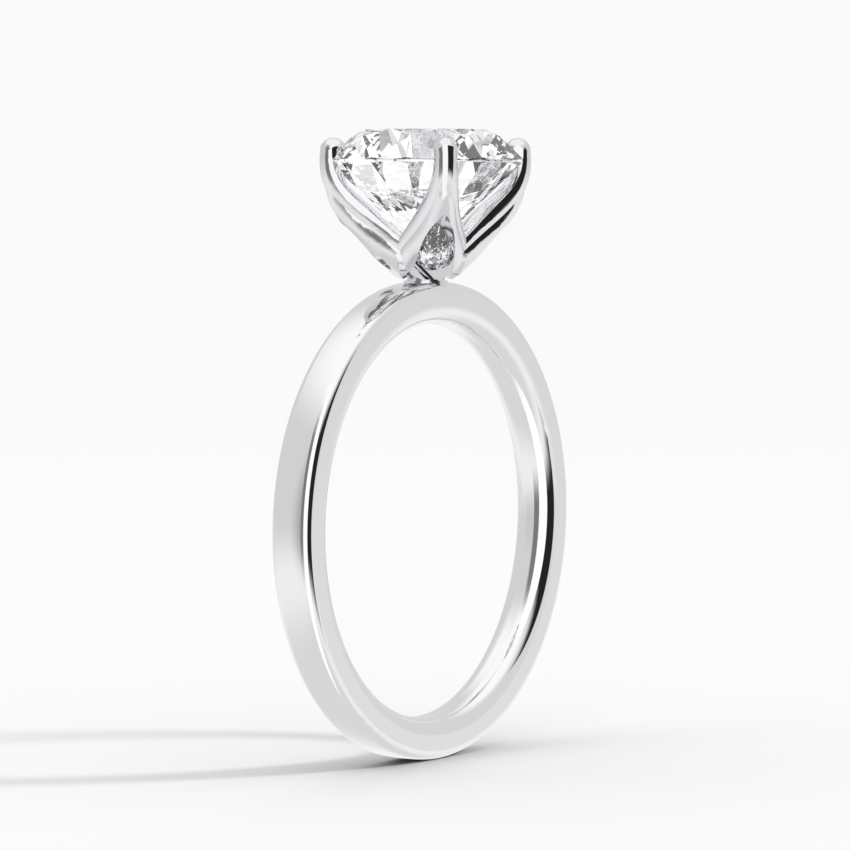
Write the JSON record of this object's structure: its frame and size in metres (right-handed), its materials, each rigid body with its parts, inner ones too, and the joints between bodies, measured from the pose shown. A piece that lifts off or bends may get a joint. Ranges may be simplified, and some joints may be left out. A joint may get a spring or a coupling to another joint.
{
  "type": "engagement ring",
  "caption": "White metal solitaire ring: a plain comfort-fit band under a round brilliant held by petal-shaped claws, each set with a small pear stone.",
  "frame": {"origin": "centre of the finger hole, on its axis, midway across the band", "axes": "+Z from the finger hole up to the centre stone, +Y along the finger hole's axis, +X across the ring's face"},
  "size_m": [0.02, 0.0082, 0.0263],
  "materials": {
    "shank_metal": "mirror-polished rhodium-plated white gold",
    "head_metal": "polished rhodium-plated white gold, a little duller in the joint",
    "claw_metal": "mirror-polished rhodium-plated white gold",
    "centre_stone": "clear faceted diamond",
    "accent_stone": "clear faceted diamond"
  },
  "bodies": {
    "root": {"shank": "shank_metal", "head_base": "head_metal", "petal_claw_front_left": "claw_metal", "petal_claw_front_right": "claw_metal", "petal_claw_back_left": "claw_metal", "petal_claw_back_right": "claw_metal", "centre_diamond": "centre_stone", "accent_diamond_front_left": "accent_stone", "accent_diamond_front_right": "accent_stone", "accent_diamond_back_left": "accent_stone", "accent_diamond_back_right": "accent_stone"}
  },
  "joints": []
}
